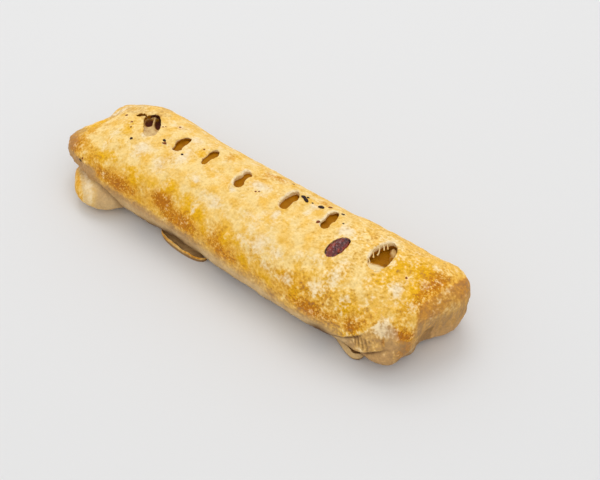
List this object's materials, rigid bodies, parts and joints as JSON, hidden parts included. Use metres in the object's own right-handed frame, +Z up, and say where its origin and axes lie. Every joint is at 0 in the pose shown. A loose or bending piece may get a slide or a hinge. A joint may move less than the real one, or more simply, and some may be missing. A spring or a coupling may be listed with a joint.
{
  "type": "stromboli",
  "caption": "Baked stromboli: a long roll of golden dough with vents cut across its crest, filling showing inside and ends tucked under.",
  "frame": {"origin": "middle of the footprint, on the level the stromboli rests on", "axes": "+X along the roll towards the end with the widest vent, +Z up, -Y the side with the seam's lip"},
  "size_m": [0.3064, 0.091, 0.0562],
  "materials": {
    "baked_crust": "baked, satin where it is buttered",
    "melted_filling": "oily",
    "scorched_filling": "sticky gloss"
  },
  "bodies": {
    "root": {"dough": "baked_crust", "filling": "melted_filling", "scorched_filling": "scorched_filling"}
  },
  "joints": []
}
